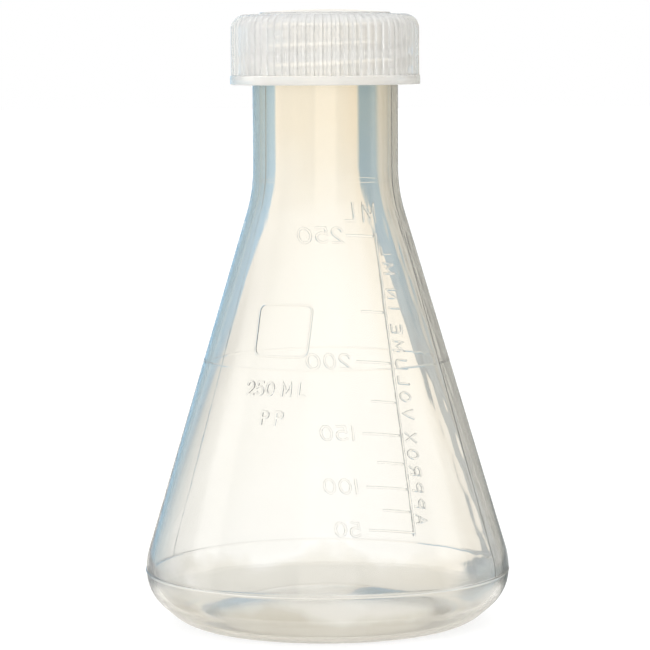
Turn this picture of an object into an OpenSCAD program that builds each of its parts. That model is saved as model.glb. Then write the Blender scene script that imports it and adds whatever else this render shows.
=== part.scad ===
// Erlenmeyer flask, 250 mL, blow-moulded polypropylene, with a 38 mm screw cap.
// Millimetres. +Z is up, and the origin is on the axis in the plane that the flask stands on.

/* [Body] */
// Diameter at the heel seam, without the seam's own ridge
body_d = 82.6; // [80:0.2:86]
// Height of the heel seam above the table
heel_h = 12.2; // [11.5:0.1:14]
// Outer diameter of the ring that the flask stands on
foot_d = 57.6; // [54:0.2:62]
// Width of the flat ring that the flask stands on
foot_land = 2.6; // [1:0.1:4]
// Radius that rounds the heel into its side and into the foot
heel_r = 10.2; // [8:0.1:11]
// Radius that rounds the heel seam into the cone
corner_r = 17.5; // [12:0.5:20]
// Half-angle of the cone
cone_angle = 16.6; // [15:0.1:18]
// Radius that rounds the cone into the neck
shoulder_r = 34; // [20:1:40]
// Height that the middle of the base is pushed up
push_up = 5; // [1:0.5:6]
// Wall thickness of the body and the neck
wall = 1.5; // [1:0.1:1.6]
// Wall thickness of the base
base_wall = 2.6; // [1.6:0.1:3]

/* [Neck and thread] */
// Outer diameter of the plain neck
neck_d = 32.8; // [31:0.1:34]
// Height of the rim above the table
rim_z = 135.3; // [132:0.1:138]
// Diameter of the neck at the bottom of the thread
finish_d = 34.8; // [34.6:0.1:35]
// Diameter over the crests of the neck's thread
thread_d = 37.2; // [36.8:0.1:37.4]
// Rise of the thread in one turn, 6 turns to the inch
pitch = 4.233; // [4.2:0.001:4.3]
// Turns of thread on the neck
neck_turns = 2.2; // [1:0.1:2.3]

/* [Screw cap] */
// Diameter of the cap over its plain lower band
cap_d = 42.8; // [42:0.1:45]
// Diameter of the cap over its ribs
rib_d = 42.4; // [41.6:0.1:44.6]
// Height of the cap, from its lower edge to the edge of its top
cap_h = 15.8; // [15:0.1:17]
// Number of grip ribs
rib_count = 70; // [40:1:90]
// Depth of the grooves between the ribs
rib_depth = 0.4; // [0.2:0.05:0.5]
// Height of the plain lower band
band_h = 2.1; // [1:0.1:3]
// Thickness of the cap's top
cap_top = 1.5; // [1:0.1:2]
// Clearance between the cap and the neck, across the threads
thread_gap = 0.35; // [0.2:0.05:0.5]
// Turns of thread in the cap
cap_turns = 1.6; // [1:0.1:1.8]
// Thickness of the sealing liner
liner_t = 0.9; // [0.6:0.1:1.5]

/* [Graduations] */
// Direction of one mould parting line, clockwise from +X; the other is opposite
parting_angle = 25; // [0:1:180]
// Sideways distance of the upright scale line from the middle of its mould half
scale_offset = 4.3; // [2:0.1:8]
// Volume between two marks, in millilitres
mark_step = 25; // [25:25:50]
// Height that the marks and lines stand proud of the wall
mark_proud = 0.25; // [0.1:0.05:0.4]

/* [Hidden] */

$fn = 128;
natural = [0.93, 0.94, 0.91, 0.6];
body_r = body_d / 2;
foot_r = foot_d / 2;
neck_r = neck_d / 2;
bore_r = neck_r - wall;
finish_r = finish_d / 2;

// Where the cone's straight side starts and ends, and the height at which the neck becomes straight
cone_low = [body_r - corner_r * (1 - cos(cone_angle)), heel_h + corner_r * sin(cone_angle)];
cone_high_x = neck_r + shoulder_r * (1 - cos(cone_angle));
shoulder_z = cone_low.y + (cone_low.x - cone_high_x) / tan(cone_angle) + shoulder_r * sin(cone_angle);
// Slope of the flat that joins the heel's two radii
heel_slope = atan2(heel_h - heel_r, body_r - heel_r - foot_r);

seam_proud = 0.2;
seam_w = 0.5;
parting_proud = 0.12;
parting_w = 0.35;

cap_fit = 0.05;
liner_gap = 0.45;
liner_z = rim_z + cap_fit;
cap_ceiling = liner_z + liner_t + cap_fit;
cap_z = cap_ceiling + cap_top - cap_h;
cap_bore_r = thread_d / 2 + thread_gap;
cap_corner_r = 3.6;
cap_slope = 0.1;
panel_r = 14.8;
panel_h = 0.3;
panel_crown = 0.7;
// The finish starts a little above the cap's lower edge, and its thread starts a little above its taper
finish_z = cap_z + 0.6;
finish_taper = 1;
rim_chamfer = 0.4;

// Thread ridges: width where they leave the wall, width at the crest, and how deep they are rooted in it
ridge_root_w = 2.3;
ridge_crest_w = 0.9;
ridge_bury = 0.5;
ridge_fade = 40;
ridge_steps = 48;
thread_z = finish_z + finish_taper + 0.7;
thread_start = 100;

// Points along an arc in the (radius, height) plane, without its first point when skip is 1
function arc(cx, cz, r, a0, a1, steps, skip = 0) =
    [for (i = [skip : steps]) let (a = a0 + (a1 - a0) * i / steps) [cx + r * cos(a), cz + r * sin(a)]];

// The flask's side from the foot to the straight neck, at a depth t under the outer surface
function side(t) = concat(
    arc(foot_r, heel_r, heel_r - t, -90, heel_slope - 90, 5),
    arc(body_r - heel_r, heel_h, heel_r - t, heel_slope - 90, 0, 6),
    arc(body_r - corner_r, heel_h, corner_r - t, 0, cone_angle, 4, 1),
    arc(neck_r + shoulder_r, shoulder_z, shoulder_r + t, 180 + cone_angle, 180, 8)
);

function above_heel(points) = [for (p = points) if (p.y >= heel_h) p];

// Points from the axis to radius r along a sphere's cap whose middle is a rise above its edge, lifted by z
function bulge(r, rise, z, steps) = let (sphere_r = (r * r + rise * rise) / (2 * rise))
    [for (i = [0 : steps]) let (x = r * i / steps) [x, z + rise - sphere_r + sqrt(sphere_r * sphere_r - x * x)]];

// The pushed-up base from the axis to the foot, raised by t
function dome(t) = bulge(foot_r - foot_land, push_up, t, 8);

inside = concat(dome(base_wall), side(wall), [[bore_r, rim_z]]);

function reversed(points) = [for (i = [len(points) - 1 : -1 : 0]) points[i]];

// Volume below height z inside the flask, in millilitres, as a sum of cone slices
function slice(p, q) = PI / 3 * (q.y - p.y) * (p.x * p.x + p.x * q.x + q.x * q.x) / 1000;
function clipped(p, q, z) = q.y <= z ? q : p + (q - p) * (z - p.y) / (q.y - p.y);
function volume_below(z, i = 0) =
    i >= len(inside) - 1 || inside[i].y > z && inside[i + 1].y > z ? 0
    : slice(inside[i], clipped(inside[i], inside[i + 1], z)) + volume_below(z, i + 1);
function mark_z(volume, low, high, tries = 24) =
    tries == 0 ? (low + high) / 2
    : let (mid = (low + high) / 2)
      volume_below(mid) < volume ? mark_z(volume, mid, high, tries - 1) : mark_z(volume, low, mid, tries - 1);

outer_radii = [for (p = concat(side(0), [[neck_r, rim_z]])) [p.y, p.x]];
function outer_r(z) = lookup(z, outer_radii);

// A helical ridge of trapezoidal section that fades out at both ends, as one closed polyhedron
module ridge(root_r, crest_r, angle, z, turns) {
    count = ceil(turns * ridge_steps);
    turn = turns * 360 / count;
    out = sign(crest_r - root_r);
    hidden_r = root_r - 0.1 * out;
    function full(i) = min(1, i * turn / ridge_fade, (count - i) * turn / ridge_fade);
    function section(i) = let (
        a = angle + i * turn,
        rise = z + pitch * i * turn / 360,
        tip = hidden_r + (crest_r - hidden_r) * full(i),
        root = root_r - ridge_bury * out
    ) [for (p = [
        [root, -ridge_root_w / 2], [tip, -ridge_crest_w / 2], [tip, ridge_crest_w / 2], [root, ridge_root_w / 2]
    ]) [p.x * cos(a), p.x * sin(a), rise + p.y]];
    points = [for (i = [0 : count]) each section(i)];
    sides = [for (i = [0 : count - 1]) for (k = [0 : 3]) let (
        a = 4 * i + k,
        b = 4 * i + (k + 1) % 4
    ) each [[a, b, b + 4], [a, b + 4, a + 4]]];
    ends = [[2, 1, 0], [3, 2, 0], [4 * count, 4 * count + 1, 4 * count + 2], [4 * count, 4 * count + 2, 4 * count + 3]];
    faces = concat(sides, ends);
    polyhedron(points, out > 0 ? faces : [for (f = faces) reversed(f)]);
}

// Blow-moulded wall: base, heel, cone, shoulder, neck and the wider finish under the thread
module vessel() {
    outside = concat(dome(0), side(0), [
        [neck_r, finish_z],
        [finish_r, finish_z + finish_taper],
        [finish_r, rim_z - rim_chamfer],
        [finish_r - rim_chamfer, rim_z]
    ]);
    rotate_extrude() polygon(concat(outside, reversed(inside)));
}

// Raised line around the heel, where the mould's base meets its two halves
module heel_seam() {
    rotate_extrude() polygon([
        [body_r - wall / 2, heel_h - seam_w],
        [body_r + seam_proud, heel_h - seam_w / 4],
        [body_r + seam_proud, heel_h + seam_w / 4],
        [body_r - wall / 2, heel_h + seam_w]
    ]);
}

// Raised lines up both sides from the heel seam, where the mould's two halves meet
module parting_lines() {
    top_z = finish_z - 0.8;
    outer = concat(above_heel(side(-parting_proud)), [[neck_r + parting_proud, top_z]]);
    inner = concat(above_heel(side(wall / 2)), [[neck_r - wall / 2, top_z]]);
    for (half = [0, 180])
        rotate([90, 0, half - parting_angle])
            linear_extrude(parting_w, center = true) polygon(concat(outer, reversed(inner)));
}

// The layer of the body's wall that raised lines stand in, from height z0 to height z1
module wall_layer(z0, z1, angle = 360) {
    rotate_extrude(angle = angle) polygon([
        [outer_r(z0) - wall / 2, z0],
        [outer_r(z0) + mark_proud, z0],
        [outer_r(z1) + mark_proud, z1],
        [outer_r(z1) - wall / 2, z1]
    ]);
}

// The scale: an upright line in a plane along the mould's opening direction, and a mark for each volume
module graduations() {
    line_w = 0.7;
    mark_h = 0.6;
    long_end = 10;
    short_end = 5;
    middle = 90 - parting_angle;
    low = mark_z(50, heel_h, rim_z) - mark_h;
    high = mark_z(250, heel_h, rim_z) + mark_h;
    intersection() {
        wall_layer(low, high);
        rotate([0, 0, middle]) translate([0, -scale_offset - line_w / 2, low - 1]) cube([body_r + 1, line_w, high - low + 2]);
    }
    for (volume = [50 : mark_step : 250]) {
        z = mark_z(volume, heel_h, rim_z);
        start = middle - asin(scale_offset / outer_r(z));
        end = middle + (volume % 50 == 0 ? long_end : short_end);
        rotate([0, 0, start]) wall_layer(z - mark_h / 2, z + mark_h / 2, end - start);
    }
}

module flask() color(natural) {
    vessel();
    heel_seam();
    parting_lines();
    graduations();
    ridge(finish_r, thread_d / 2, thread_start, thread_z, neck_turns);
}

module cap_liner() color([0.96, 0.96, 0.94])
    translate([0, 0, liner_z]) cylinder(r = cap_bore_r - liner_gap, h = liner_t);

// Outline of the ribbed skirt, each rib a flat crest with sloped flanks
module rib_outline() {
    tooth = 360 / rib_count;
    crest_r = rib_d / 2;
    groove_r = crest_r - rib_depth;
    // Half-widths of a rib at its crest and at its foot, as shares of the distance between ribs
    crest = 0.17;
    foot = 0.30;
    polygon([for (i = [0 : rib_count - 1]) for (p = [
        [-foot, groove_r], [-crest, crest_r], [crest, crest_r], [foot, groove_r]
    ]) let (a = (i + p.x) * tooth) p.y * [cos(a), sin(a)]]);
}

// The cap's rounded outer form, with a raised and crowned panel on its top
module cap_form() {
    r = cap_d / 2;
    top_z = cap_z + cap_h;
    rotate_extrude() polygon(concat(
        [[0, cap_z], [r, cap_z], [r, top_z - cap_corner_r]],
        arc(r - cap_corner_r, top_z - cap_corner_r, cap_corner_r, 0, 90, 8, 1),
        [[panel_r, top_z + cap_slope]],
        reversed(bulge(panel_r - panel_h, panel_crown, top_z + cap_slope + panel_h, 6))
    ));
}

module screw_cap() color(natural) {
    difference() {
        intersection() {
            cap_form();
            union() {
                translate([0, 0, cap_z]) linear_extrude(cap_h + panel_crown + 1) rib_outline();
                translate([0, 0, cap_z]) cylinder(d = cap_d, h = band_h);
            }
        }
        translate([0, 0, cap_z - 1]) cylinder(r = cap_bore_r, h = cap_ceiling - cap_z + 1);
    }
    // Half a turn on at the same height, so that it lies midway between two turns of the neck's ridge
    ridge(cap_bore_r, finish_r + thread_gap, thread_start + 180, thread_z, cap_turns);
}

flask();
cap_liner();
screw_cap();
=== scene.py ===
"""Looks of the 250 mL Erlenmeyer flask: detailed meshes, procedural plastics, studio and camera."""

import math

import bpy
import numpy as np
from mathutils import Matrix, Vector


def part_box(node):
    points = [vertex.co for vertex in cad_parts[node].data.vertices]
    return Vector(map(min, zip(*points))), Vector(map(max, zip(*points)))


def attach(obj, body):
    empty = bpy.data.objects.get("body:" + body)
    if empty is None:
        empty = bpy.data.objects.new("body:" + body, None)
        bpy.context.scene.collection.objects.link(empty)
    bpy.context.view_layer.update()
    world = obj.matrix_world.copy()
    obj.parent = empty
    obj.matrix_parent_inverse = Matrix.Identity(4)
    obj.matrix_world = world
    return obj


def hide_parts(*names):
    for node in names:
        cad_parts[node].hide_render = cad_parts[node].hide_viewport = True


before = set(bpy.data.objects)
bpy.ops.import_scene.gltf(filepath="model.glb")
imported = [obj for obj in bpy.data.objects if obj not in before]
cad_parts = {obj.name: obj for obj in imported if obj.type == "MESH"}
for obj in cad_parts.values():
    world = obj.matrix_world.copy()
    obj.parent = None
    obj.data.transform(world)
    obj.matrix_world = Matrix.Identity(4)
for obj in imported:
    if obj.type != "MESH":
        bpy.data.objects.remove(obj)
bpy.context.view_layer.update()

MM = 0.001

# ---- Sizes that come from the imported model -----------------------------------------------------

flask_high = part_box("flask")[1]
cap_low, cap_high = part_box("screw_cap")
liner_low, liner_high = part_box("cap_liner")

SEAM_PROUD = 0.2 * MM
RIM_Z = flask_high[2]
BODY_R = flask_high[0] - SEAM_PROUD
CAP_Z = cap_low[2]
CAP_R = cap_high[0]
LINER_R = liner_high[0]

# ---- Driving sizes, as in the part's own source --------------------------------------------------

# The side: a round heel, a round corner above the seam, a cone, a hollow shoulder and a straight neck
HEEL_H = 12.2 * MM
FOOT_R = 28.8 * MM
FOOT_LAND = 2.6 * MM
HEEL_R = 10.2 * MM
CORNER_R = 17.5 * MM
CONE_ANGLE = math.radians(16.6)
SHOULDER_R = 34 * MM
NECK_R = 16.4 * MM
# How high the base is pushed up, and how thick the wall and the base are
PUSH_UP = 5 * MM
WALL = 1.5 * MM
BASE_WALL = 2.6 * MM
# The screw finish: the plain cylinder at the top of the neck and the thread round it
FINISH_R = 17.4 * MM
THREAD_R = 18.6 * MM
PITCH = 4.233 * MM
NECK_TURNS = 2.2
CAP_TURNS = 1.6
THREAD_GAP = 0.35 * MM
THREAD_START = math.radians(100)
FINISH_Z = CAP_Z + 0.6 * MM
FINISH_TAPER = 1 * MM
FINISH_EDGE = 0.15 * MM
FINISH_EDGE_H = 0.2 * MM
THREAD_Z = FINISH_Z + FINISH_TAPER + 0.7 * MM

# The mould parts along this direction. Its halves open across it, and the lettering is cut into their middles
PARTING_ANGLE = math.radians(-25)
BACK_AZIMUTH = PARTING_ANGLE + math.pi / 2
FRONT_AZIMUTH = PARTING_ANGLE - math.pi / 2

BORE_R = NECK_R - WALL
CONE_LOW = (BODY_R - CORNER_R * (1 - math.cos(CONE_ANGLE)), HEEL_H + CORNER_R * math.sin(CONE_ANGLE))
CONE_HIGH_R = NECK_R + SHOULDER_R * (1 - math.cos(CONE_ANGLE))
SHOULDER_Z = (CONE_LOW[1] + (CONE_LOW[0] - CONE_HIGH_R) / math.tan(CONE_ANGLE)
              + SHOULDER_R * math.sin(CONE_ANGLE))
HEEL_SLOPE = math.atan2(HEEL_H - HEEL_R, BODY_R - HEEL_R - FOOT_R)


# ---- Mesh helpers -------------------------------------------------------------------------------

def arc(cx, cz, r, a0, a1, steps):
    return [(cx + r * math.cos(a0 + (a1 - a0) * i / steps), cz + r * math.sin(a0 + (a1 - a0) * i / steps))
            for i in range(steps + 1)]


def straight(p, q, steps):
    """Points between p and q, without either end."""
    return [(p[0] + (q[0] - p[0]) * i / steps, p[1] + (q[1] - p[1]) * i / steps) for i in range(1, steps)]


def joined(*runs):
    """One outline from several runs of points, without repeated points."""
    points = []
    for run in runs:
        for p in run:
            if not points or math.dist(p, points[-1]) > 1e-7:
                points.append(p)
    return points


def revolve(name, profile, angles, radial=None):
    """A closed mesh from a profile that starts and ends on the axis, or from a closed ring of one.

    radial(row, angles) gives how far each point of a row is moved outwards.
    """
    rings = []
    verts = []
    for row, (r, z) in enumerate(profile):
        if r < 1e-7:
            rings.append([len(verts)])
            verts.append((0, 0, z))
            continue
        radii = np.full(len(angles), r) if radial is None else r + radial(row, angles)
        rings.append(list(range(len(verts), len(verts) + len(angles))))
        verts += [(rr * math.cos(a), rr * math.sin(a), z) for rr, a in zip(radii, angles)]
    faces = []
    count = len(angles)
    for low, high in zip(rings, rings[1:]):
        for i in range(count):
            j = (i + 1) % count
            if len(low) == 1:
                faces.append((low[0], high[j], high[i]))
            elif len(high) == 1:
                faces.append((low[i], low[j], high[0]))
            else:
                faces.append((low[i], low[j], high[j], high[i]))
    return new_object(name, verts, faces)


def new_object(name, verts, faces):
    mesh = bpy.data.meshes.new(name)
    mesh.from_pydata(verts, [], faces)
    mesh.validate()
    mesh.polygons.foreach_set("use_smooth", [True] * len(mesh.polygons))
    obj = bpy.data.objects.new(name, mesh)
    bpy.context.scene.collection.objects.link(obj)
    return obj


def read_all(items, attribute, width=1, kind=float):
    """One attribute of every item of a mesh, as rows of the given width."""
    values = np.empty(len(items) * width, dtype=kind)
    items.foreach_get(attribute, values)
    return values.reshape(-1, width) if width > 1 else values


def sharpen(obj, angle):
    obj.data.set_sharp_from_angle(angle=angle)


def unite(obj, other):
    """Joins other into obj as one closed solid and deletes it."""
    cut = obj.modifiers.new("unite", "BOOLEAN")
    cut.operation = "UNION"
    cut.solver = "MANIFOLD"
    cut.object = other
    bpy.context.view_layer.update()
    depsgraph = bpy.context.evaluated_depsgraph_get()
    mesh = bpy.data.meshes.new_from_object(obj.evaluated_get(depsgraph))
    obj.modifiers.clear()
    old = obj.data
    obj.data = mesh
    bpy.data.meshes.remove(old)
    bpy.data.objects.remove(other)


# Section of a thread ridge: the root is buried in the wall, and the crest has soft edges
RIDGE_ROOT_W = 2.3 * MM
RIDGE_CREST_W = 0.9 * MM
RIDGE_BURY = 0.5 * MM
RIDGE_HIDE = 0.1 * MM
RIDGE_SOFT_DROP = 0.18 * MM
RIDGE_SOFT_OUT = 0.12 * MM
RIDGE_SOFT_IN = 0.15 * MM
RIDGE_FADE = math.radians(75)
RIDGE_STEPS_A_TURN = 90


def helix_ridge(name, root_r, crest_r, start, z, turns):
    """A thread ridge with a rounded crest that sinks into the wall at both ends."""
    out = math.copysign(1, crest_r - root_r)
    root = root_r - RIDGE_BURY * out
    hidden = root_r - RIDGE_HIDE * out
    count = int(turns * RIDGE_STEPS_A_TURN)
    verts, faces = [], []
    for i in range(count + 1):
        turned = 2 * math.pi * turns * i / count
        a = start + turned
        full = min(1, turned / RIDGE_FADE, (2 * math.pi * turns - turned) / RIDGE_FADE)
        full = full * full * (3 - 2 * full)
        tip = hidden + (crest_r - hidden) * full
        soft = tip - RIDGE_SOFT_DROP * out * full
        rise = z + PITCH * turned / (2 * math.pi)
        half = [(root, RIDGE_ROOT_W / 2), (soft, RIDGE_CREST_W / 2 + RIDGE_SOFT_OUT),
                (tip, RIDGE_CREST_W / 2 - RIDGE_SOFT_IN)]
        section = [(r, -dz) for r, dz in half] + half[::-1]
        for r, dz in section:
            verts.append((r * math.cos(a), r * math.sin(a), rise + dz))
    n = len(section)
    for i in range(count):
        for k in range(n):
            a, b = n * i + k, n * i + (k + 1) % n
            faces.append((a, a + n, b + n, b) if out > 0 else (a, b, b + n, a + n))
    first, last = list(range(n)), list(range(n * count, n * count + n))
    faces += [first, last[::-1]] if out > 0 else [first[::-1], last]
    return new_object(name, verts, faces)


# ---- The flask's wall ---------------------------------------------------------------------------

def side(t):
    """The side from the foot to the straight neck, at a depth t under the outer surface."""
    lower = arc(FOOT_R, HEEL_R, HEEL_R - t, -math.pi / 2, HEEL_SLOPE - math.pi / 2, 10)
    heel = arc(BODY_R - HEEL_R, HEEL_H, HEEL_R - t, HEEL_SLOPE - math.pi / 2, 0, 12)
    corner = arc(BODY_R - CORNER_R, HEEL_H, CORNER_R - t, 0, CONE_ANGLE, 8)
    shoulder = arc(NECK_R + SHOULDER_R, SHOULDER_Z, SHOULDER_R + t, math.pi + CONE_ANGLE, math.pi, 14)
    cone = straight(corner[-1], shoulder[0], 40)
    return joined(lower, straight(lower[-1], heel[0], 4), heel, corner, cone, shoulder)


def bulge(r_max, rise, z, steps):
    """Points from the axis outwards along a sphere's cap, from its middle down to its edge at height z."""
    sphere = (r_max * r_max + rise * rise) / (2 * rise)
    radii = [r_max * i / steps for i in range(steps + 1)]
    return [(r, z + rise - sphere + math.sqrt(sphere * sphere - r * r)) for r in radii]


def dome(t):
    """The pushed-up base, raised by t."""
    return bulge(FOOT_R - FOOT_LAND, PUSH_UP, t, 14)


OUTLINE = joined(side(0), [(NECK_R, FINISH_Z)])
OUTLINE_Z = np.array([p[1] for p in OUTLINE])
OUTLINE_R = np.array([p[0] for p in OUTLINE])
INSIDE = joined(dome(BASE_WALL), side(WALL), [(BORE_R, RIM_Z)])


def outer_r(z):
    return float(np.interp(z, OUTLINE_Z, OUTLINE_R))


def volume_below(z):
    """Volume inside the flask below height z, in cubic metres, as a sum of cone slices."""
    total = 0
    for (r0, z0), (r1, z1) in zip(INSIDE, INSIDE[1:]):
        if z0 > z and z1 > z:
            continue
        if z1 > z:
            r1, z1 = r0 + (r1 - r0) * (z - z0) / (z1 - z0), z
        total += math.pi / 3 * (z1 - z0) * (r0 * r0 + r0 * r1 + r1 * r1)
    return total


def mark_z(millilitres):
    low, high = HEEL_H, RIM_Z
    for _ in range(30):
        middle = (low + high) / 2
        if volume_below(middle) < millilitres * 1e-6:
            low = middle
        else:
            high = middle
    return (low + high) / 2


def raised_line(points, z, proud, width):
    """Puts a fine raised ring into an outline at height z."""
    below = [p for p in points if p[1] < z - width]
    above = [p for p in points if p[1] > z + width]
    r = float(np.interp(z, [p[1] for p in points], [p[0] for p in points]))
    slope = (above[0][0] - below[-1][0]) / (above[0][1] - below[-1][1])
    bump = [(-1.0, 0), (-0.7, 0.15), (-0.35, 0.9), (0, 1.0), (0.35, 0.9), (0.7, 0.15), (1.0, 0)]
    return below + [(r + slope * dz * width / 2 + proud * h, z + dz * width / 2) for dz, h in bump] + above


# Fine raised lines of the mould: the seam over the heel, one on the cone and one below the neck. On the back
# the seam is lower, by up to this share of its height
SEAM_W = 0.55 * MM
SEAM_LOSS = 0.6
WITNESS_Z = 60 * MM
WITNESS_PROUD = 0.07 * MM
WITNESS_W = 0.5 * MM
NECK_LINE_Z = 100.3 * MM
NECK_LINE_PROUD = 0.02 * MM
NECK_LINE_W = 0.6 * MM
# The two upright lines where the mould's halves met, which stop below the finish, and how far apart the
# wall's columns stand there
FIN_PROUD = 0.08 * MM
FIN_STOP = 0.8 * MM
FIN_HALF_W = 0.22 * MM
FIN_STEP = 0.4 * MM
FINS = (PARTING_ANGLE % (2 * math.pi), PARTING_ANGLE + math.pi)
WALL_COLUMNS = 240

RIM_OUTER_ROUND = 0.6 * MM
RIM_INNER_ROUND = 0.5 * MM

# The blown inner face is never quite round. Each wave has its size, its count round the wall, its phase and
# its turn over 100 mm of height: long soft ones all round, and streaks near the first mould line
WAVE_HEIGHT = 0.04 * MM
WAVES = [(0.5, 2, 1.3, 2.1), (0.35, 5, 0.4, -3.2), (0.2, 9, 2.2, 5.0), (0.10, 17, 0.9, 2.0),
         (0.05, 31, 1.9, -4.0), (0.15, 0, 0.6, 14)]
STREAK_HEIGHT = 0.014 * MM
STREAKS = [(1, 58, 0.7, 30), (0.7, 41, 0, -47), (0.6, 0, 0, 90), (0.5, 23, 0, 71)]
STREAKED_W = 7 * MM
STREAK_FADE = 14 * MM
INNER_LOW_Z = HEEL_H * 0.9
INNER_HIGH_Z = RIM_Z - 2 * MM
INNER_FADE = 8 * MM


def waves(terms, a, z):
    v = z / (100 * MM)
    return sum(size * np.sin(count * a + phase + turn * v) for size, count, phase, turn in terms)


def outer_relief(r, z, a):
    """The upright mould lines, and the seam, which is crisper on the half with the marking panel."""
    if abs(z - HEEL_H) < SEAM_W and r > BODY_R + 0.01 * MM:
        return -SEAM_LOSS * (r - BODY_R) * (0.5 - 0.5 * np.cos(a - FRONT_AZIMUTH))
    if not HEEL_H < z < FINISH_Z - FIN_STOP:
        return 0 * a
    gap = np.min([np.abs(a - fin) * r for fin in FINS], axis=0)
    return FIN_PROUD * np.clip(1 - gap / FIN_HALF_W, 0, 1)


def inner_relief(r, z, a):
    if z < INNER_LOW_Z or z > INNER_HIGH_Z:
        return 0 * a
    fade = min(1, (z - INNER_LOW_Z) / INNER_FADE) * min(1, (INNER_HIGH_Z - z) / INNER_FADE)
    gap = np.abs((a - PARTING_ANGLE + math.pi) % (2 * math.pi) - math.pi) * r / STREAKED_W
    on_cone = min(1, max(0, (SHOULDER_Z - z) / STREAK_FADE))
    streaks = STREAK_HEIGHT * on_cone * np.exp(-gap ** 2) * waves(STREAKS, a, z)
    return fade * (WAVE_HEIGHT * waves(WAVES, a, z) + streaks)


def wall_angles():
    """Even columns round the wall, with closer ones at the upright mould lines."""
    angles = [2 * math.pi * i / WALL_COLUMNS for i in range(WALL_COLUMNS)]
    step = FIN_STEP / BODY_R
    for fin in FINS:
        angles = [a for a in angles if abs(a - fin) > 2.5 * step]
        angles += [fin + k * step for k in (-2, -1, -0.5, 0, 0.5, 1, 2)]
    return np.array(sorted(angles))


def flask_wall():
    """Base, heel, cone, shoulder, neck and finish as one closed wall with its mould lines."""
    finish_foot = [(NECK_R, FINISH_Z), (FINISH_R - FINISH_EDGE, FINISH_Z + FINISH_TAPER - FINISH_EDGE),
                   (FINISH_R, FINISH_Z + FINISH_TAPER + FINISH_EDGE_H)]
    rim_edge = RIM_Z - RIM_OUTER_ROUND
    outside = joined(side(0), straight((NECK_R, SHOULDER_Z), (NECK_R, FINISH_Z), 14), finish_foot,
                     straight((FINISH_R, FINISH_Z + FINISH_TAPER), (FINISH_R, rim_edge), 8),
                     arc(FINISH_R - RIM_OUTER_ROUND, rim_edge, RIM_OUTER_ROUND, 0, math.pi / 2, 5))
    outside = raised_line(outside, HEEL_H, SEAM_PROUD, SEAM_W)
    outside = raised_line(outside, WITNESS_Z, WITNESS_PROUD, WITNESS_W)
    outside = raised_line(outside, NECK_LINE_Z, NECK_LINE_PROUD, NECK_LINE_W)
    outside = joined(dome(0), outside)
    lip_r, lip_z = BORE_R + RIM_INNER_ROUND, RIM_Z - RIM_INNER_ROUND
    inside = joined([(lip_r, RIM_Z)], arc(lip_r, lip_z, RIM_INNER_ROUND, math.pi / 2, math.pi, 4),
                    straight((BORE_R, lip_z), (BORE_R, SHOULDER_Z), 20),
                    side(WALL)[::-1], dome(BASE_WALL)[::-1])
    rows = joined(outside, inside)

    def relief(row, a):
        return (outer_relief if row < len(outside) else inner_relief)(*rows[row], a)

    return revolve("flask_body", rows, wall_angles(), relief)


# ---- Raised lettering ---------------------------------------------------------------------------

def bend(cx, cy, rx, ry, a0, a1, steps=8):
    """Part of an ellipse, angles in degrees."""
    angles = [math.radians(a0 + (a1 - a0) * i / steps) for i in range(steps + 1)]
    return [(cx + rx * math.cos(a), cy + ry * math.sin(a)) for a in angles]


BOWL = [(0, 1), (0.36, 1)] + bend(0.36, 0.75, 0.28, 0.25, 80, -80, 7) + [(0.36, 0.5), (0, 0.5)]
OVAL = bend(0.35, 0.5, 0.35, 0.5, 0, 337.5, 15)
# Each glyph is its width and its strokes, in units of the letter's height. A closed stroke starts with "loop"
GLYPHS = {
    "0": (0.7, [["loop"] + OVAL]),
    "O": (0.7, [["loop"] + OVAL]),
    "1": (0.2, [[(0.1, 0), (0.1, 1)]]),
    "I": (0.2, [[(0.1, 0), (0.1, 1)]]),
    "2": (0.68, [bend(0.33, 0.7, 0.32, 0.3, 170, -35, 9) + [(0, 0), (0.68, 0)]]),
    "5": (0.68, [[(0.62, 1), (0.1, 1), (0.04, 0.56)] + bend(0.32, 0.33, 0.35, 0.33, 110, -145, 10)]),
    "A": (0.72, [[(0, 0), (0.36, 1), (0.72, 0)], [(0.14, 0.34), (0.58, 0.34)]]),
    "E": (0.58, [[(0.58, 1), (0, 1), (0, 0), (0.58, 0)], [(0, 0.52), (0.48, 0.52)]]),
    "L": (0.56, [[(0, 1), (0, 0), (0.56, 0)]]),
    "M": (0.8, [[(0, 0), (0.03, 1), (0.4, 0.3), (0.77, 1), (0.8, 0)]]),
    "N": (0.66, [[(0, 0), (0, 1), (0.66, 0), (0.66, 1)]]),
    "P": (0.64, [[(0, 0), (0, 1)], BOWL]),
    "R": (0.64, [[(0, 0), (0, 1)], BOWL, [(0.3, 0.5), (0.64, 0)]]),
    "U": (0.66, [[(0, 1)] + bend(0.33, 0.33, 0.33, 0.33, 180, 360, 8) + [(0.66, 1)]]),
    "V": (0.7, [[(0, 1), (0.35, 0), (0.7, 1)]]),
    "X": (0.66, [[(0, 0), (0.66, 1)], [(0, 1), (0.66, 0)]]),
}


def densified(points, longest):
    out = [points[0]]
    for p, q in zip(points, points[1:]):
        parts = max(1, math.ceil(math.dist(p, q) / longest))
        out += straight(p, q, parts) + [q]
    return out


MITRE_LIMIT = 1.6


def stroke_sides(points, closed):
    """Unit sideways vectors at each point of a flat line, stretched at the corners."""
    n = len(points)
    sides = []
    for i in range(n):
        before = points[i - 1] if closed or i else None
        after = points[(i + 1) % n] if closed or i < n - 1 else None
        directions = []
        for a, b in ((before, points[i]), (points[i], after)):
            if a is not None and b is not None:
                d = math.dist(a, b)
                directions.append(((b[0] - a[0]) / d, (b[1] - a[1]) / d))
        dx = sum(d[0] for d in directions)
        dy = sum(d[1] for d in directions)
        length = math.hypot(dx, dy)
        stretch = min(MITRE_LIMIT, len(directions) / length)
        sides.append((-dy / length * stretch, dx / length * stretch))
    return sides


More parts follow.
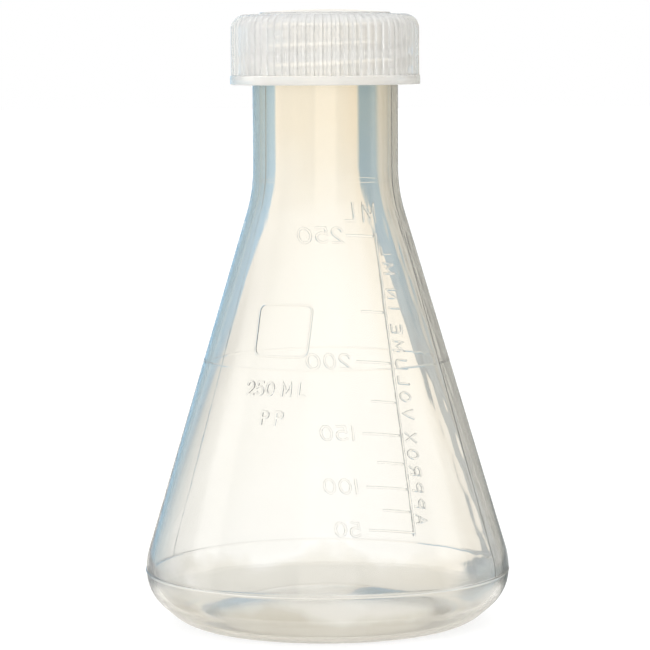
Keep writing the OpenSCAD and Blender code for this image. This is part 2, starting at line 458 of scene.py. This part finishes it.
# Section of a raised stroke: its share of half the width and of the height. None is its foot, inside the wall
SECTION = [(-1, None), (-1, 0.0), (-0.82, 0.9), (-0.7, 1.0), (0.7, 1.0), (0.82, 0.9), (1, 0.0), (1, None)]
STROKE_ROOT = 0.3 * MM
STROKE_STEP = 1.2 * MM
# An open stroke runs on past each end by this share of its width, and a space is this share of the height
STROKE_END = 0.35
WORD_SPACE = 0.55


def on_wall(azimuth, s, z, proud):
    """The point at a sideways distance s from a mould half's middle, at height z, proud of the wall."""
    r = outer_r(z)
    a = azimuth + math.asin(max(-1, min(1, s / r)))
    return ((r + proud) * math.cos(a), (r + proud) * math.sin(a), z)


class Strokes:
    """Collects raised strokes in layers whose members don't touch each other, for joining to the wall."""

    def __init__(self):
        self.layers = {}

    def add(self, layer, azimuth, points, width, height, closed=False):
        verts, faces = self.layers.setdefault(layer, ([], []))
        if closed:
            points = densified(points + points[:1], STROKE_STEP)[:-1]
        else:
            points = densified(points, STROKE_STEP)
            ends = []
            for p, q in ((points[0], points[1]), (points[-1], points[-2])):
                d = math.dist(p, q)
                ends.append(tuple(p[k] + (p[k] - q[k]) / d * width * STROKE_END for k in (0, 1)))
            points = [ends[0]] + points[1:-1] + [ends[1]]
        base, n, m = len(verts), len(points), len(SECTION)
        for p, (sx, sy) in zip(points, stroke_sides(points, closed)):
            for across, up in SECTION:
                proud = -STROKE_ROOT if up is None else height * up
                half = across * width / 2
                verts.append(on_wall(azimuth, p[0] + sx * half, p[1] + sy * half, proud))
        for i in range(n if closed else n - 1):
            for k in range(m):
                a, b = base + m * i + k, base + m * i + (k + 1) % m
                c, d = base + m * ((i + 1) % n) + (k + 1) % m, base + m * ((i + 1) % n) + k
                faces.append((a, d, c, b))
        if not closed:
            faces.append([base + k for k in range(m)])
            faces.append([base + m * (n - 1) + k for k in range(m)][::-1])

    def text(self, azimuth, words, s, z, size, width, height, gap=0.32, narrow=1, upward=False):
        """Writes words from the left end at (s, z); upward text is turned a quarter turn to the left."""
        x = 0
        for letter in words:
            if letter == " ":
                x += size * WORD_SPACE
                continue
            advance, strokes = GLYPHS[letter]
            for k, stroke in enumerate(strokes):
                closed = stroke[0] == "loop"
                flat = [(x + px * narrow * size, py * size) for px, py in (stroke[1:] if closed else stroke)]
                placed = [(s - py, z + px) if upward else (s + px, z + py) for px, py in flat]
                self.add(k, azimuth, placed, width, height, closed)
            x += size * (advance * narrow + gap)

    def unite_with(self, obj):
        for layer in sorted(self.layers):
            verts, faces = self.layers[layer]
            unite(obj, new_object("strokes", verts, faces))


STROKE_W = 0.55 * MM

# Front: a plain marking panel with round corners, and under it the capacity and the plastic's code
LABEL_S = 1.1 * MM
LABEL_Z = 68.4 * MM
LABEL_HALF_W = 6.2 * MM
LABEL_HALF_H = 5.6 * MM
LABEL_CORNER = 1.6 * MM
LABEL_STROKE_W = 0.5 * MM
LABEL_PROUD = 0.2 * MM
FRONT_SIZE = 2.7 * MM
FRONT_PROUD = 0.28 * MM
FRONT_NARROW = 0.88
# Each word's left end, height and gap between letters, which is a share of their size
FRONT_WORDS = [("250", -5.75 * MM, 54.6 * MM, 0.3), ("ML", 2.8 * MM, 54.6 * MM, 0.68),
               ("PP", -1.3 * MM, 48.4 * MM, 0.68)]

# Back: the scale from 50 to 250 mL, with the angles at which its marks end and its numbers begin
SCALE_LOW = 50
SCALE_HIGH = 250
SCALE_STEP = 25
SCALE_OFFSET = 4.3 * MM
SCALE_LINE_W = 0.7 * MM
MARK_W = 0.6 * MM
MARK_PROUD = 0.25 * MM
MARK_OVERLAP = 0.1 * MM
LONG_MARK_ANGLE = math.radians(10)
SHORT_MARK_ANGLE = math.radians(5)
NUMBER_ANGLE = math.radians(13.5)
NUMBER_SIZE = 3.5 * MM
NUMBER_PROUD = 0.15 * MM
UNIT_S = -5.1 * MM
UNIT_RISE = 3.4 * MM
UNIT_SIZE = 4.2 * MM
UNIT_STROKE_W = 0.6 * MM
UNIT_PROUD = 0.2 * MM
UNIT_GAP = 0.65
LEGEND = "APPROX VOLUME IN ML"
LEGEND_SIZE = 3.0 * MM
LEGEND_PROUD = 0.22 * MM
LEGEND_ASIDE = 1.2 * MM
LEGEND_END_GAP = 2.5 * MM


def add_front(strokes):
    label = []
    across, up = LABEL_HALF_W - LABEL_CORNER, LABEL_HALF_H - LABEL_CORNER
    for right, above, start in ((1, 1, 0), (-1, 1, 90), (-1, -1, 180), (1, -1, 270)):
        label += bend(LABEL_S + right * across, LABEL_Z + above * up, LABEL_CORNER, LABEL_CORNER,
                      start, start + 90, 5)
    strokes.add(0, FRONT_AZIMUTH, label, LABEL_STROKE_W, LABEL_PROUD, closed=True)
    for words, s, z, gap in FRONT_WORDS:
        strokes.text(FRONT_AZIMUTH, words, s, z, FRONT_SIZE, STROKE_W, FRONT_PROUD, gap=gap,
                     narrow=FRONT_NARROW)


def add_scale(strokes):
    ends = [(-SCALE_OFFSET, mark_z(SCALE_LOW) - MARK_W), (-SCALE_OFFSET, mark_z(SCALE_HIGH) + MARK_W)]
    strokes.add(0, BACK_AZIMUTH, ends, SCALE_LINE_W, MARK_PROUD)
    for volume in range(SCALE_LOW, SCALE_HIGH + 1, SCALE_STEP):
        z = mark_z(volume)
        numbered = volume % (2 * SCALE_STEP) == 0
        end = outer_r(z) * math.sin(LONG_MARK_ANGLE if numbered else SHORT_MARK_ANGLE)
        strokes.add(1, BACK_AZIMUTH, [(-SCALE_OFFSET + MARK_OVERLAP, z), (end, z)], MARK_W, MARK_PROUD)
        if numbered:
            start = outer_r(z) * math.sin(NUMBER_ANGLE)
            strokes.text(BACK_AZIMUTH, str(volume), start, z - NUMBER_SIZE / 2, NUMBER_SIZE, STROKE_W,
                         NUMBER_PROUD)
    strokes.text(BACK_AZIMUTH, "ML", UNIT_S, mark_z(SCALE_HIGH) + UNIT_RISE, UNIT_SIZE, UNIT_STROKE_W,
                 UNIT_PROUD, gap=UNIT_GAP)


def add_legend(strokes):
    """The legend beside the scale line, which reads upward and fills the scale's length."""
    room = mark_z(SCALE_HIGH) - mark_z(SCALE_LOW) - 2 * LEGEND_END_GAP
    spare = room - LEGEND_SIZE * sum(WORD_SPACE if c == " " else GLYPHS[c][0] for c in LEGEND)
    gap = spare / LEGEND_SIZE / (len(LEGEND.replace(" ", "")) - 1)
    strokes.text(BACK_AZIMUTH, LEGEND, -SCALE_OFFSET - LEGEND_ASIDE, mark_z(SCALE_LOW) + LEGEND_END_GAP,
                 LEGEND_SIZE, STROKE_W, LEGEND_PROUD, gap=gap, upward=True)


def lettering():
    strokes = Strokes()
    add_front(strokes)
    add_scale(strokes)
    add_legend(strokes)
    return strokes


def true_normals(obj):
    """Gives the outer wall its exact normals, which the joined lettering would otherwise disturb."""
    mesh = obj.data
    # One row for each corner of each face
    normals = read_all(mesh.corner_normals, "vector", 3)
    points = read_all(mesh.vertices, "co", 3)[read_all(mesh.loops, "vertex_index", kind=np.int64)]
    corners = read_all(mesh.polygons, "loop_total", kind=np.int64)
    faces = np.repeat(read_all(mesh.polygons, "normal", 3), corners, axis=0)
    r = np.hypot(points[:, 0], points[:, 1])
    z = points[:, 2]
    # Slope of the outline: straight cone, or the round shoulder and corner
    slope = np.full(len(points), CONE_ANGLE)
    shoulder_low = SHOULDER_Z - SHOULDER_R * math.sin(CONE_ANGLE)
    in_shoulder = z > shoulder_low
    slope[in_shoulder] = np.arcsin(np.clip((SHOULDER_Z - z[in_shoulder]) / SHOULDER_R, 0, 1))
    in_corner = z < CONE_LOW[1]
    slope[in_corner] = np.arcsin(np.clip((z[in_corner] - HEEL_H) / CORNER_R, 0, 1))
    level = np.cos(slope) / np.maximum(r, BORE_R)
    exact = np.stack([points[:, 0] * level, points[:, 1] * level, np.sin(slope)], axis=1)
    # The plain wall lies on the outline, faces the same way, and stays clear of the seam and the finish
    on_outline = np.abs(r - np.interp(z, OUTLINE_Z, OUTLINE_R)) < 0.03 * MM
    facing = np.sum(exact * faces, axis=1) > 0.995
    chosen = on_outline & facing & (z > HEEL_H + 1 * MM) & (z < FINISH_Z - 1 * MM)
    normals[chosen] = exact[chosen]
    mesh.normals_split_custom_set(normals)


FLASK_SHARP = math.radians(38)


def build_flask():
    wall = flask_wall()
    unite(wall, helix_ridge("neck_thread", FINISH_R, THREAD_R, THREAD_START, THREAD_Z, NECK_TURNS))
    lettering().unite_with(wall)
    sharpen(wall, FLASK_SHARP)
    true_normals(wall)
    return wall


# ---- The cap ------------------------------------------------------------------------------------

# Ribs: how many, how deep, and half their width at the top and at the foot as shares of their pitch
RIBS = 70
RIB_DEPTH = 0.4 * MM
RIB_CREST_R = 21.2 * MM
RIB_TOP = 0.17
RIB_FOOT = 0.32
RIB_COLUMNS = 12
# The shell: a plain band at its lower edge, a round top corner, a bore with soft edges and a flat ceiling
BAND_H = 2.1 * MM
BAND_ROUND = 0.25 * MM
CAP_BORE_R = THREAD_R + THREAD_GAP
BORE_CHAMFER = 0.3 * MM
CEILING_Z = liner_high[2] + 0.05 * MM
CEILING_ROUND = 0.4 * MM
CAP_EDGE_Z = CAP_Z + 15.8 * MM
CAP_CORNER_R = 3.3 * MM
CAP_CORNER_Z = CAP_EDGE_Z - CAP_CORNER_R
CAP_SHARP = math.radians(40)
# The top rises a little to a raised and crowned panel
CAP_SLOPE = 0.1 * MM
PANEL_R = 14.8 * MM
PANEL_H = 0.3 * MM
PANEL_CROWN = 0.7 * MM
PANEL_ROUND = 0.22 * MM
PANEL_DRAFT = 0.06 * MM


def cap_inside():
    """The ceiling from its middle outwards, and down the bore to the lower edge."""
    round_z, chamfer_z = CEILING_Z - CEILING_ROUND, CAP_Z + BORE_CHAMFER
    return joined([(0, CEILING_Z)], straight((0, CEILING_Z), (CAP_BORE_R - 0.5 * MM, CEILING_Z), 8),
                  arc(CAP_BORE_R - CEILING_ROUND, round_z, CEILING_ROUND, math.pi / 2, 0, 4),
                  straight((CAP_BORE_R, round_z), (CAP_BORE_R, chamfer_z), 8),
                  [(CAP_BORE_R, chamfer_z), (CAP_BORE_R + BORE_CHAMFER, CAP_Z)])


def cap_band():
    """The lower edge and the plain band, whose upper edge is slightly rounded."""
    top_z = CAP_Z + BAND_H
    return joined([(CAP_BORE_R + BORE_CHAMFER, CAP_Z)],
                  arc(CAP_R - BAND_ROUND, CAP_Z + BAND_ROUND, BAND_ROUND, -math.pi / 2, 0, 4),
                  [(CAP_R, top_z - 0.2 * MM), (CAP_R - 0.08 * MM, top_z - 0.05 * MM),
                   (CAP_R - 0.2 * MM, top_z)])


def cap_ribbed():
    """The ribs' crests, from the band up and over the round corner."""
    foot_z = CAP_Z + BAND_H
    return joined([(RIB_CREST_R, foot_z + 0.02 * MM)],
                  straight((RIB_CREST_R, foot_z), (RIB_CREST_R, CAP_CORNER_Z), 8),
                  arc(RIB_CREST_R - CAP_CORNER_R, CAP_CORNER_Z, CAP_CORNER_R, 0, math.pi / 2, 14))


def cap_top(start):
    """The top from the corner's end inwards: the slope, the step and the crowned panel."""
    step_z = CAP_EDGE_Z + CAP_SLOPE
    edge_r = PANEL_R - PANEL_DRAFT
    return joined(straight(start, (PANEL_R, step_z), 4), [(PANEL_R, step_z), (edge_r, step_z + 0.05 * MM)],
                  arc(edge_r - PANEL_ROUND, step_z + PANEL_H - PANEL_ROUND, PANEL_ROUND, 0.1, 1.4, 4),
                  bulge(PANEL_R - PANEL_H, PANEL_CROWN, step_z + PANEL_H, 16)[::-1])


def build_cap():
    # From the ceiling's middle, down the bore, round the lower edge, up the ribs and over the top
    ribbed = cap_ribbed()
    rows = joined(cap_inside(), cap_band(), ribbed, cap_top(ribbed[-1]))
    first_rib = rows.index(ribbed[0])
    last_rib = first_rib + len(ribbed) - 1
    columns = RIBS * RIB_COLUMNS
    angles = np.array([2 * math.pi * i / columns for i in range(columns)])
    # How far a point lies from the nearest rib's middle, as a share of the pitch, and the rib's share there
    off = np.abs((angles * RIBS / (2 * math.pi) + 0.5) % 1 - 0.5)
    crest = np.clip((RIB_FOOT - off) / (RIB_FOOT - RIB_TOP), 0, 1)

    def relief(row, a):
        if not first_rib <= row < last_rib:
            return 0 * a
        over = max(0.0, (rows[row][1] - CAP_CORNER_Z) / CAP_CORNER_R)
        return -RIB_DEPTH * math.sqrt(1 - over ** 6) * (1 - crest)

    cap = revolve("cap_shell", rows, angles, relief)
    unite(cap, helix_ridge("cap_thread", CAP_BORE_R, FINISH_R + THREAD_GAP, THREAD_START + math.pi, THREAD_Z,
                           CAP_TURNS))
    sharpen(cap, CAP_SHARP)
    return cap


LINER_ROUND = 0.15 * MM
LINER_COLUMNS = 128


def build_liner():
    low, high = liner_low[2], liner_high[2]
    edge_r = LINER_R - LINER_ROUND
    rows = joined([(0, low)], straight((0, low), (edge_r, low), 6),
                  arc(edge_r, low + LINER_ROUND, LINER_ROUND, -math.pi / 2, 0, 3),
                  arc(edge_r, high - LINER_ROUND, LINER_ROUND, 0, math.pi / 2, 3),
                  straight((edge_r, high), (0, high), 6), [(0, high)])
    angles = np.array([2 * math.pi * i / LINER_COLUMNS for i in range(LINER_COLUMNS)])
    return revolve("liner_disc", rows, angles)


# ---- Node helpers -------------------------------------------------------------------------------

def read_ramp(nodes, links, value, stops):
    """The colour for a value, from stops that pair values with colours."""
    low, high = stops[0][0], stops[-1][0]
    share = nodes.new("ShaderNodeMapRange")
    share.inputs["From Min"].default_value = low
    share.inputs["From Max"].default_value = high
    links.new(value, share.inputs["Value"])
    ramp = nodes.new("ShaderNodeValToRGB")
    links.new(share.outputs["Result"], ramp.inputs["Fac"])
    elements = ramp.color_ramp.elements
    elements.remove(elements[-1])
    for i, (stop, colour) in enumerate(stops):
        where = (stop - low) / (high - low)
        element = elements[0] if i == 0 else elements.new(where)
        element.position = where
        element.color = (*colour, 1)
    return ramp.outputs["Color"]


def maths(nodes, links, operation, *values):
    node = nodes.new("ShaderNodeMath")
    node.operation = operation
    for k, value in enumerate(values):
        if isinstance(value, (int, float)):
            node.inputs[k].default_value = value
        else:
            links.new(value, node.inputs[k])
    return node.outputs[0]


def smooth_step(nodes, links, value, start, full):
    fade = nodes.new("ShaderNodeMapRange")
    fade.interpolation_type = "SMOOTHSTEP"
    fade.inputs["From Min"].default_value = start
    fade.inputs["From Max"].default_value = full
    links.new(value, fade.inputs["Value"])
    return fade.outputs["Result"]


# ---- Materials ----------------------------------------------------------------------------------

# The base colour of the flask and of the cap against the height in metres. The flask's turns darker and
# greyer below about 9.5 mm, which is painted shade at its foot; higher up it is the plastic's own tint.
FLASK_TINTS_AND_FOOT_SHADE = [(0.0, (0.775, 0.75, 0.685)), (0.006, (0.84, 0.82, 0.76)), (0.0095, (0.995, 0.995, 0.985)),
               (0.092, (0.988, 0.972, 0.93)), (0.115, (0.985, 0.94, 0.85))]
CAP_TINTS = [(0.12, (0.995, 0.985, 0.955)), (0.14, (0.995, 0.99, 0.975))]
TINT_DRIFT = 10 * MM


def plastic(name, colours_by_height, transmission, rough_low, rough_high):
    """Natural polypropylene: milky, of a colour that changes with height, with fine upright flow lines. On
    the flask that colour darkens towards the foot, which is painted shade.
    """
    material = bpy.data.materials.new(name)
    material.use_nodes = True
    nodes, links = material.node_tree.nodes, material.node_tree.links
    shader = nodes["Principled BSDF"]
    shader.inputs["IOR"].default_value = 1.49
    shader.inputs["Transmission Weight"].default_value = transmission
    place = nodes.new("ShaderNodeTexCoord")
    cloud = nodes.new("ShaderNodeTexNoise")
    cloud.inputs["Scale"].default_value = 60
    cloud.inputs["Detail"].default_value = 3
    links.new(place.outputs["Object"], cloud.inputs["Vector"])
    # Faint clouds shift the height at which a tint is read, up or down
    parts = nodes.new("ShaderNodeSeparateXYZ")
    links.new(place.outputs["Object"], parts.inputs[0])
    height = maths(nodes, links, "MULTIPLY_ADD", cloud.outputs["Fac"], 2 * TINT_DRIFT, parts.outputs["Z"])
    height = maths(nodes, links, "SUBTRACT", height, TINT_DRIFT)
    links.new(read_ramp(nodes, links, height, colours_by_height), shader.inputs["Base Color"])
    rough = nodes.new("ShaderNodeMapRange")
    rough.inputs["To Min"].default_value = rough_low
    rough.inputs["To Max"].default_value = rough_high
    links.new(cloud.outputs["Fac"], rough.inputs["Value"])
    links.new(rough.outputs["Result"], shader.inputs["Roughness"])
    stretch = nodes.new("ShaderNodeMapping")
    stretch.inputs["Scale"].default_value = (1, 1, 0.04)
    links.new(place.outputs["Object"], stretch.inputs["Vector"])
    fine = nodes.new("ShaderNodeTexNoise")
    fine.inputs["Scale"].default_value = 700
    fine.inputs["Detail"].default_value = 2
    links.new(stretch.outputs["Vector"], fine.inputs["Vector"])
    relief = nodes.new("ShaderNodeBump")
    relief.inputs["Strength"].default_value = 0.3
    relief.inputs["Distance"].default_value = 0.01 * MM
    links.new(fine.outputs["Fac"], relief.inputs["Height"])
    links.new(relief.outputs["Normal"], shader.inputs["Normal"])
    return material


def finish_with(obj, general, special, chosen):
    """Gives a piece its plastic, and another one to the faces where chosen(radius, height) is true."""
    mesh = obj.data
    mesh.materials.clear()
    mesh.materials.append(general)
    mesh.materials.append(special)
    x, y, z = read_all(mesh.polygons, "center", 3).T
    mesh.polygons.foreach_set("material_index", chosen(np.hypot(x, y), z).astype(np.int32))


HEEL_TOP_Z = 6.5 * MM


def in_heel(r, z):
    return z < HEEL_TOP_Z


def on_cap_thread(r, z):
    return (r < CAP_BORE_R - 0.05 * MM) & (z < CEILING_Z - 0.2 * MM)


def foam(name):
    material = bpy.data.materials.new(name)
    material.use_nodes = True
    nodes, links = material.node_tree.nodes, material.node_tree.links
    shader = nodes["Principled BSDF"]
    shader.inputs["Roughness"].default_value = 0.6
    place = nodes.new("ShaderNodeTexCoord")
    cells = nodes.new("ShaderNodeTexVoronoi")
    cells.inputs["Scale"].default_value = 1800
    links.new(place.outputs["Object"], cells.inputs["Vector"])
    colours = nodes.new("ShaderNodeValToRGB")
    colours.color_ramp.elements[0].color = (0.86, 0.86, 0.84, 1)
    colours.color_ramp.elements[1].color = (0.93, 0.93, 0.92, 1)
    links.new(cells.outputs["Distance"], colours.inputs["Fac"])
    links.new(colours.outputs["Color"], shader.inputs["Base Color"])
    relief = nodes.new("ShaderNodeBump")
    relief.inputs["Distance"].default_value = 0.05 * MM
    links.new(cells.outputs["Distance"], relief.inputs["Height"])
    links.new(relief.outputs["Normal"], shader.inputs["Normal"])
    return material


# ---- Studio -------------------------------------------------------------------------------------

FLOOR_HALF = 6.0
FLOOR_DROP = 0.1 * MM


def build_floor():
    """A plain floor made pale by its own light, which doesn't show in or through the plastic."""
    corners = [(x * FLOOR_HALF, y * FLOOR_HALF, 0) for x, y in ((-1, -1), (1, -1), (1, 1), (-1, 1))]
    mesh = bpy.data.meshes.new("floor")
    mesh.from_pydata(corners, [], [(0, 1, 2, 3)])
    floor = bpy.data.objects.new("floor", mesh)
    floor.location.z = -FLOOR_DROP
    bpy.context.scene.collection.objects.link(floor)
    material = bpy.data.materials.new("pale_floor")
    material.use_nodes = True
    shader = material.node_tree.nodes["Principled BSDF"]
    shader.inputs["Base Color"].default_value = (0.35, 0.35, 0.35, 1)
    shader.inputs["Roughness"].default_value = 0.9
    shader.inputs["Specular IOR Level"].default_value = 0.1
    shader.inputs["Emission Color"].default_value = (1, 1, 1, 1)
    shader.inputs["Emission Strength"].default_value = 0.75
    mesh.materials.append(material)
    floor.visible_transmission = False
    floor.visible_glossy = False


# The studio as seen through and in the plastic: its colour against the direction, in degrees clockwise from
# the middle of the main backdrop. Near it, at eye level and towards the table:
NEAR_UPPER = [
    (-30, (0.35, 0.50, 0.58)), (-21, (0.35, 0.57, 0.72)), (-16, (0.36, 0.61, 0.82)),
    (-7.2, (0.35, 0.63, 0.91)), (-6.6, (1.06, 1.03, 0.97)), (-3, (1.09, 1.06, 1.00)),
    (1.0, (1.09, 1.05, 0.97)), (2.85, (1.00, 0.92, 0.79)), (3.1, (0.20, 0.38, 0.53)),
    (6.6, (0.24, 0.41, 0.53)), (7.4, (0.54, 0.56, 0.52)), (9.5, (0.72, 0.69, 0.62)),
    (13, (0.66, 0.63, 0.56)), (18, (0.46, 0.46, 0.42)), (30, (0.48, 0.47, 0.42)),
]
NEAR_LOWER = [
    (-30, (0.36, 0.38, 0.39)), (-16, (0.27, 0.28, 0.28)), (-9, (0.40, 0.41, 0.41)),
    (-7, (0.58, 0.58, 0.56)), (-6, (0.70, 0.69, 0.65)), (-5, (0.78, 0.76, 0.72)),
    (-4, (0.85, 0.83, 0.79)), (-3, (0.98, 0.96, 0.91)), (-1.5, (1.12, 1.10, 1.05)),
    (0.5, (1.18, 1.16, 1.12)), (1.8, (1.15, 1.10, 1.00)), (2.8, (1.08, 1.00, 0.87)),
    (3.1, (0.24, 0.28, 0.30)), (3.6, (0.42, 0.46, 0.48)), (4.7, (0.46, 0.49, 0.49)),
    (6, (0.36, 0.38, 0.37)), (8.2, (0.20, 0.22, 0.22)), (14, (0.14, 0.16, 0.15)),
    (30, (0.36, 0.34, 0.29)),
]
# Further round stand more white backdrops between flags, cool on the one side and warm on the other
FAR = [
    (-180, (1.0, 1.0, 0.98)), (-164, (1.0, 1.0, 0.98)), (-160, (0.38, 0.41, 0.44)),
    (-125, (0.56, 0.59, 0.60)), (-104, (0.42, 0.45, 0.48)), (-98, (1.0, 1.01, 1.02)),
    (-82, (1.0, 1.01, 1.02)), (-76, (0.31, 0.33, 0.34)), (-50, (0.37, 0.42, 0.44)),
    (-30, (0.35, 0.50, 0.58)), (30, (0.48, 0.47, 0.42)), (50, (0.50, 0.49, 0.45)),
    (76, (0.36, 0.35, 0.32)), (82, (1.0, 1.0, 0.98)), (98, (1.0, 1.0, 0.98)), (104, (0.42, 0.41, 0.37)),
    (125, (0.60, 0.58, 0.52)), (160, (0.38, 0.38, 0.35)), (164, (1.0, 1.0, 0.98)),
    (180, (1.0, 1.0, 0.98)),
]
# The main backdrop widens towards the table: how many times wider it is, against the elevation in degrees
WIDENING = [(-14, 1.5), (-10, 1.7), (-8, 2.5), (-7, 2.8), (-6.3, 2.5), (-5.4, 2.05), (-4.6, 1.7), (-4, 1.45),
            (-3, 1.15), (-2, 1.0)]
# The widening is full up to the first of these angles from the main backdrop, and has gone by the second
WIDENED_TO = 60
EVEN_FROM = 120
TABLE = (1.0, 0.97, 0.91)
CEILING_CLOTH = (1.1, 1.12, 1.14)


def build_world():
    world = bpy.data.worlds.new("studio")
    bpy.context.scene.world = world
    world.use_nodes = True
    nodes, links = world.node_tree.nodes, world.node_tree.links
    background = nodes["Background"]
    place = nodes.new("ShaderNodeTexCoord")
    parts = nodes.new("ShaderNodeSeparateXYZ")
    links.new(place.outputs["Generated"], parts.inputs[0])
    # The direction's turn and rise in degrees
    turn = maths(nodes, links, "ARCTAN2", parts.outputs["X"], parts.outputs["Y"])
    turn = maths(nodes, links, "DEGREES", turn)
    rise = maths(nodes, links, "DEGREES", maths(nodes, links, "ARCSINE", parts.outputs["Z"]))
    away = maths(nodes, links, "ABSOLUTE", turn)
    widths = [(elevation, [width] * 3) for elevation, width in WIDENING]
    extra = maths(nodes, links, "SUBTRACT", read_ramp(nodes, links, rise, widths), 1)
    share = smooth_step(nodes, links, away, EVEN_FROM, WIDENED_TO)
    widened = maths(nodes, links, "MULTIPLY_ADD", extra, share, 1)
    near_turn = maths(nodes, links, "DIVIDE", turn, widened)
    colour = read_ramp(nodes, links, near_turn, NEAR_UPPER)
    lower = read_ramp(nodes, links, near_turn, NEAR_LOWER)
    far = read_ramp(nodes, links, turn, FAR)
    # Low down, further round, the table, and a ceiling of cloth. Each fades in from one angle to another
    layers = [(rise, -2, -5, lower), (away, 40, 60, far),
              (rise, -11, -20, TABLE), (rise, 16, 34, CEILING_CLOTH)]
    for value, start, full, tone in layers:
        # Sockets 0, 6 and 7 of a colour mix are its factor and its two colours, and output 2 is the result
        mix = nodes.new("ShaderNodeMix")
        mix.data_type = "RGBA"
        links.new(smooth_step(nodes, links, value, start, full), mix.inputs[0])
        links.new(colour, mix.inputs[6])
        if isinstance(tone, tuple):
            mix.inputs[7].default_value = (*tone, 1)
        else:
            links.new(tone, mix.inputs[7])
        colour = mix.outputs[2]
    links.new(colour, background.inputs["Color"])
    # The camera itself sees an even pale surround
    plain = nodes.new("ShaderNodeBackground")
    plain.inputs["Color"].default_value = (1, 1, 1, 1)
    rays = nodes.new("ShaderNodeLightPath")
    either = nodes.new("ShaderNodeMixShader")
    links.new(rays.outputs["Is Camera Ray"], either.inputs[0])
    links.new(background.outputs[0], either.inputs[1])
    links.new(plain.outputs[0], either.inputs[2])
    links.new(either.outputs[0], nodes["World Output"].inputs["Surface"])


LAMP_TARGET = Vector((0, 0, 0.07))


def area_light(name, location, size, power, colour):
    """A square soft lamp aimed at the flask's middle, which doesn't itself show in or through the plastic."""
    light = bpy.data.lights.new(name, "AREA")
    light.shape = "SQUARE"
    light.size = size
    light.energy = power
    light.color = colour
    lamp = bpy.data.objects.new(name, light)
    bpy.context.scene.collection.objects.link(lamp)
    lamp.location = location
    lamp.rotation_euler = (LAMP_TARGET - Vector(location)).to_track_quat("-Z", "Y").to_euler()
    lamp.visible_glossy = False
    lamp.visible_transmission = False
    lamp.visible_camera = False


def build_camera():
    """A long lens at about the cap's height, looking slightly down."""
    distance = 716.4 * MM
    height = 130.4 * MM
    pitch = math.radians(5.012)
    roll = math.radians(0.29)
    camera = bpy.data.cameras.new("camera")
    camera.lens = 175.6
    camera.sensor_width = 36
    camera.clip_start = 0.01
    view = bpy.data.objects.new("camera", camera)
    bpy.context.scene.collection.objects.link(view)
    view.location = (0, -distance, height)
    view.rotation_mode = "XYZ"
    view.rotation_euler = (math.pi / 2 - pitch, roll, 0)
    bpy.context.scene.camera = view


# ---- Assembly -----------------------------------------------------------------------------------

build_camera()
build_world()
build_floor()
area_light("key", (-1.1, -1.4, 0.42), 0.8, 30, (1.0, 0.995, 0.985))
area_light("fill", (1.4, -1.1, 0.42), 1.0, 15, (1.0, 0.975, 0.935))

# The flask's colours against height darken towards its foot: painted shade there
flask_plastic = plastic("flask_polypropylene", FLASK_TINTS_AND_FOOT_SHADE, 0.925, 0.005, 0.02)
heel_plastic = plastic("heel_polypropylene", FLASK_TINTS_AND_FOOT_SHADE, 0.83, 0.05, 0.12)
cap_plastic = plastic("cap_polypropylene", CAP_TINTS, 0.68, 0.03, 0.06)
cap_thread_plastic = plastic("cap_thread_polypropylene", CAP_TINTS, 0.2, 0.3, 0.4)

flask = build_flask()
finish_with(flask, flask_plastic, heel_plastic, in_heel)
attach(flask, "flask")
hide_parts("flask")

cap = build_cap()
finish_with(cap, cap_plastic, cap_thread_plastic, on_cap_thread)
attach(cap, "screw_cap")
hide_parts("screw_cap")

liner = build_liner()
liner.data.materials.append(foam("faced_foam"))
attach(liner, "cap_liner")
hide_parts("cap_liner")

scene = bpy.context.scene
scene.view_settings.view_transform = "Standard"
scene.cycles.max_bounces = 24
scene.cycles.transmission_bounces = 20
scene.cycles.transparent_max_bounces = 24

bpy.context.view_layer.update()
